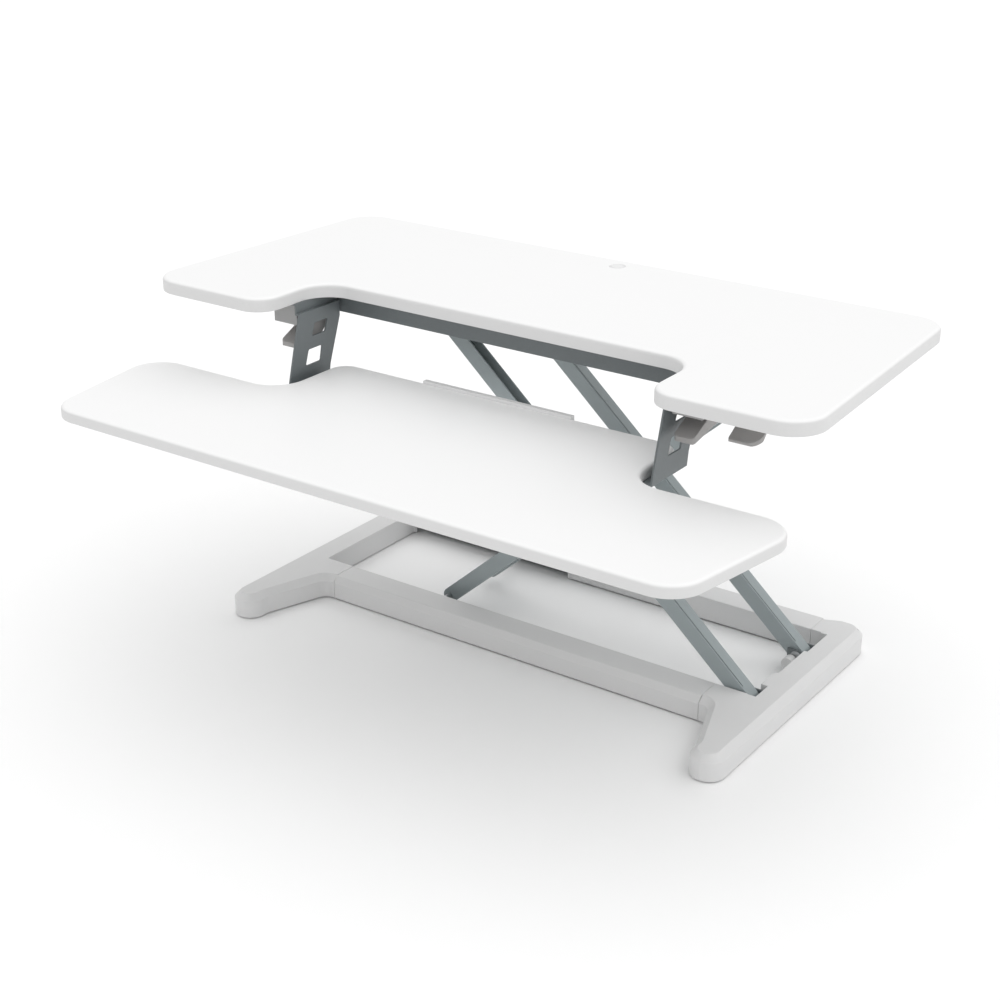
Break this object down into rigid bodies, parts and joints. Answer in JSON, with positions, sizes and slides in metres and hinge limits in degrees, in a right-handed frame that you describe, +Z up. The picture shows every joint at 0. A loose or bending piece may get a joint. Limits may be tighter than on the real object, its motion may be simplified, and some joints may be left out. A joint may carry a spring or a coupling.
{
  "type": "standing desk converter",
  "caption": "Two-tier desktop riser: a worksurface with a front cut-out and a hung keyboard tray, lifted by crossed arms on a low framed base.",
  "frame": {"origin": "on the table under the middle of the whole object's box, lift raised to its rest height", "axes": "+X to the user's right, +Y away from the user, +Z up"},
  "size_m": [0.95, 0.639, 0.4732],
  "materials": {
    "white_laminate": "satin white laminate on board",
    "plug_plastic": "white",
    "cover_plastic": "light grey, fine texture",
    "arm_paint": "blue-grey powder coat",
    "rail_paint": "dark blue-grey powder coat",
    "bare_steel": "zinc plated",
    "lever_plastic": "warm grey",
    "housing_plastic": "mid grey",
    "roller_nylon": "nylon",
    "bush_polymer": "black acetal",
    "foot_rubber": "matt",
    "gas_black": "black",
    "gas_chrome": "polished"
  },
  "bodies": {
    "base": {"left_foot_cover": "cover_plastic", "right_foot_cover": "cover_plastic", "front_beam_cover": "cover_plastic", "rear_beam_cover": "cover_plastic", "front_base_track": "rail_paint", "rear_base_track": "rail_paint", "base_spine_bars": "bare_steel", "base_crossbars": "bare_steel", "rubber_feet": "foot_rubber", "base_screws": "bare_steel", "front_arm_lug": "rail_paint", "rear_arm_lug": "rail_paint", "base_pivot_pins": "bare_steel", "arm_bumper": "cover_plastic", "track_end_stops": "bush_polymer"},
    "main_arms": {"front_main_arm": "arm_paint", "rear_main_arm": "arm_paint", "main_arm_bushes": "bush_polymer", "main_arm_cross_tubes": "arm_paint", "centre_pivot_bolts": "bare_steel", "centre_washers": "bare_steel", "upper_roller_axles": "bare_steel"},
    "counter_arms": {"front_counter_arm": "arm_paint", "rear_counter_arm": "arm_paint", "counter_arm_bushes": "bush_polymer", "counter_arm_lower_tube": "arm_paint", "counter_arm_torque_tube": "arm_paint", "lower_roller_axles": "bare_steel", "gas_spring_crank": "arm_paint", "crank_pin": "bare_steel"},
    "deck": {"worksurface": "white_laminate", "desktop_plug": "plug_plastic", "keyboard_tray": "white_laminate", "tray_rear_stop": "plug_plastic", "front_top_rail": "rail_paint", "rear_top_rail": "rail_paint", "deck_pivot_lugs": "rail_paint", "deck_pivot_pins": "bare_steel", "left_tray_bracket": "rail_paint", "right_tray_bracket": "rail_paint", "left_lever_housing": "housing_plastic", "right_lever_housing": "housing_plastic", "paddle_bracket": "rail_paint", "lever_hinge_pins": "bare_steel", "lever_return_springs": "bare_steel", "top_frame_screws": "bare_steel", "tray_screws": "bare_steel", "gas_spring_bracket": "rail_paint", "gas_spring_pin": "bare_steel"},
    "gas_rod": {"gas_spring_rod": "gas_chrome"},
    "gas_cylinder": {"gas_spring_cylinder": "gas_black"},
    "upper_front_roller": {"upper_roller_front": "roller_nylon"},
    "upper_rear_roller": {"upper_roller_rear": "roller_nylon"},
    "lower_front_roller": {"lower_roller_front": "roller_nylon"},
    "lower_rear_roller": {"lower_roller_rear": "roller_nylon"},
    "left_lever": {"left_grip_lever": "lever_plastic"},
    "right_lever": {"right_grip_lever": "lever_plastic"},
    "paddle": {"lock_paddle": "lever_plastic"}
  },
  "joints": [
    {"name": "arms_lift", "type": "hinge", "parent": "base", "child": "main_arms", "pos_m": [0.333, 0.1495, 0.022], "axis": [0, 1, 0], "range_deg": [-34, 3.3]},
    {"name": "cross_pivot", "type": "hinge", "parent": "main_arms", "child": "counter_arms", "pos_m": [0.096, 0.1495, 0.2332], "axis": [0, 1, 0], "range_deg": [-6.6, 68]},
    {"name": "deck_pivot", "type": "hinge", "parent": "counter_arms", "child": "deck", "pos_m": [0.333, 0.1495, 0.4444], "axis": [0, 1, 0], "range_deg": [-34, 3.3]},
    {"name": "gas_rod_pivot", "type": "hinge", "parent": "counter_arms", "child": "gas_rod", "pos_m": [0.34369, 0.1495, 0.40586], "axis": [0, 1, 0], "range_deg": [-34, 3.3]},
    {"name": "gas_stroke", "type": "slide", "parent": "gas_rod", "child": "gas_cylinder", "axis": [1, 0, 0], "range_m": [-0.0026, 0.0238]},
    {"name": "upper_front_roll", "type": "hinge", "parent": "main_arms", "child": "upper_front_roller", "pos_m": [-0.141, 0.046, 0.4444], "axis": [0, 1, 0], "continuous": true},
    {"name": "upper_rear_roll", "type": "hinge", "parent": "main_arms", "child": "upper_rear_roller", "pos_m": [-0.141, 0.253, 0.4444], "axis": [0, 1, 0], "continuous": true},
    {"name": "lower_front_roll", "type": "hinge", "parent": "counter_arms", "child": "lower_front_roller", "pos_m": [-0.141, 0.0505, 0.022], "axis": [0, 1, 0], "continuous": true},
    {"name": "lower_rear_roll", "type": "hinge", "parent": "counter_arms", "child": "lower_rear_roller", "pos_m": [-0.141, 0.281, 0.022], "axis": [0, 1, 0], "continuous": true},
    {"name": "left_squeeze", "type": "hinge", "parent": "deck", "child": "left_lever", "pos_m": [-0.2935, 0.0205, 0.4362], "axis": [-1, 0, 0], "range_deg": [0, 9], "stiffness_Nm_per_rad": 1, "springref_deg": -8.59},
    {"name": "right_squeeze", "type": "hinge", "parent": "deck", "child": "right_lever", "pos_m": [0.2935, 0.0205, 0.4362], "axis": [-1, 0, 0], "range_deg": [0, 9], "stiffness_Nm_per_rad": 1, "springref_deg": -8.59},
    {"name": "paddle_press", "type": "hinge", "parent": "deck", "child": "paddle", "pos_m": [0.354, 0.0225, 0.4462], "axis": [-1, 0, 0], "range_deg": [0, 8], "stiffness_Nm_per_rad": 1, "springref_deg": -8.59}
  ],
  "couplings": [
    {"joint": "cross_pivot", "follows": "arms_lift", "ratio": -2},
    {"joint": "deck_pivot", "follows": "arms_lift", "ratio": 1},
    {"joint": "gas_rod_pivot", "follows": "arms_lift", "ratio": 1},
    {"joint": "gas_stroke", "follows": "arms_lift", "m_per_rad": -0.0394}
  ]
}
